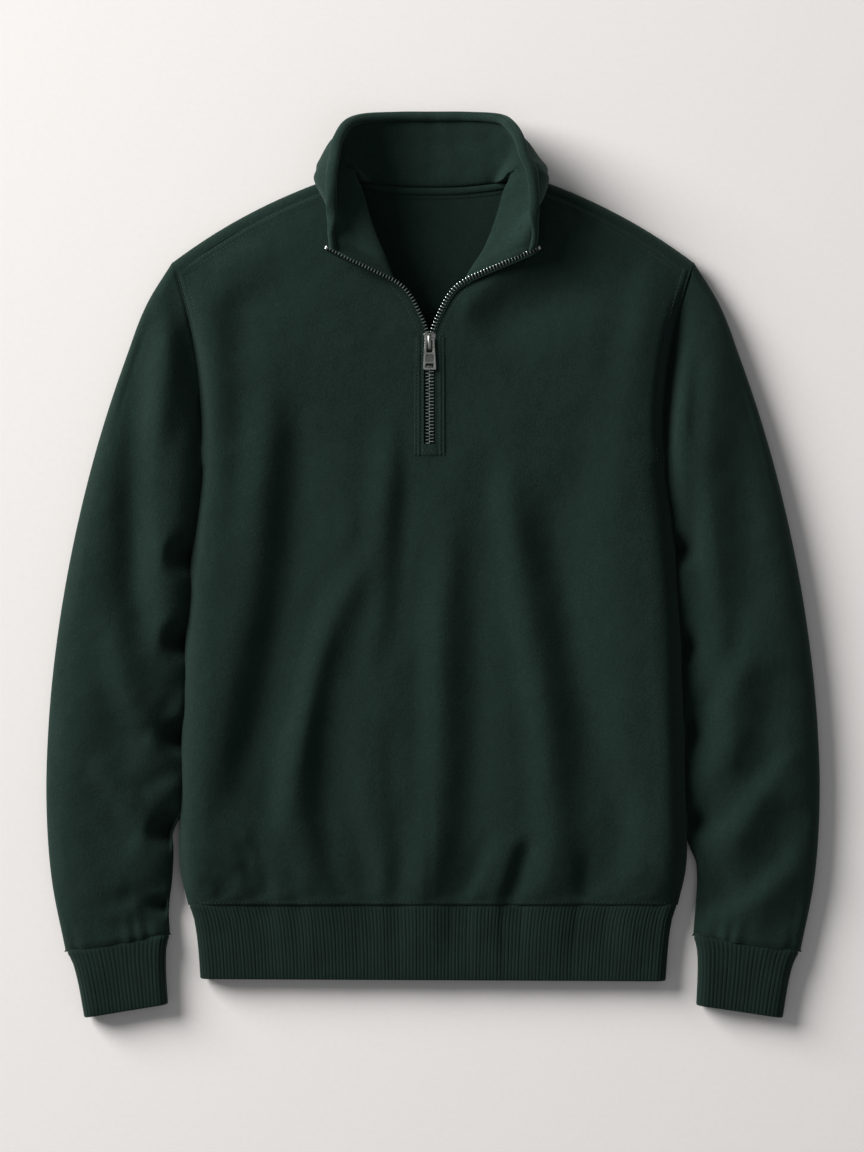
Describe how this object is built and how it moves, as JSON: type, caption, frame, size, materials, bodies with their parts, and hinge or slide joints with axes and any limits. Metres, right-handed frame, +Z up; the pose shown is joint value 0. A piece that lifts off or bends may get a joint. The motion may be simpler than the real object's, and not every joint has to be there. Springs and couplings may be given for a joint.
{
  "type": "quarter-zip fleece pullover laid flat",
  "caption": "Long-sleeved fleece pullover laid flat, with a standing collar, a short metal zip opened over the chest, and ribbed cuffs and hem.",
  "frame": {"origin": "centre of the bounding box's underside, on the surface the pullover lies on", "axes": "+Y from the hem to the collar, +Z up off the surface through the front panel, +X to the right as seen from the front; left and right in the node names are as seen from the front"},
  "size_m": [0.6766, 0.7926, 0.0711],
  "materials": {
    "fleece": "soft matt dark green fleece with a short nap",
    "collar_cloth": "matt dark green fleece, a little lighter",
    "rib": "dark green rib knit",
    "binding": "dark green woven tape",
    "zip_tape": "dark green woven zip tape",
    "zip_metal": "dulled nickel"
  },
  "bodies": {
    "garment": {"front": "fleece", "back": "fleece", "sleeve_left": "fleece", "sleeve_right": "fleece", "placket": "fleece", "collar": "collar_cloth", "cuff_left": "rib", "cuff_right": "rib", "hem_band": "rib", "neck_tape": "binding", "zip_chain": "zip_tape", "zip_left": "zip_tape", "zip_right": "zip_tape", "zip_slider": "zip_metal", "stop_left": "zip_metal", "stop_right": "zip_metal"},
    "pull": {"zip_pull": "zip_metal"}
  },
  "joints": [
    {"name": "pull_hinge", "type": "hinge", "parent": "garment", "child": "pull", "pos_m": [-0.003, 0.1985, 0.0345], "axis": [-1, 0, 0], "range_deg": [0, 150]}
  ]
}
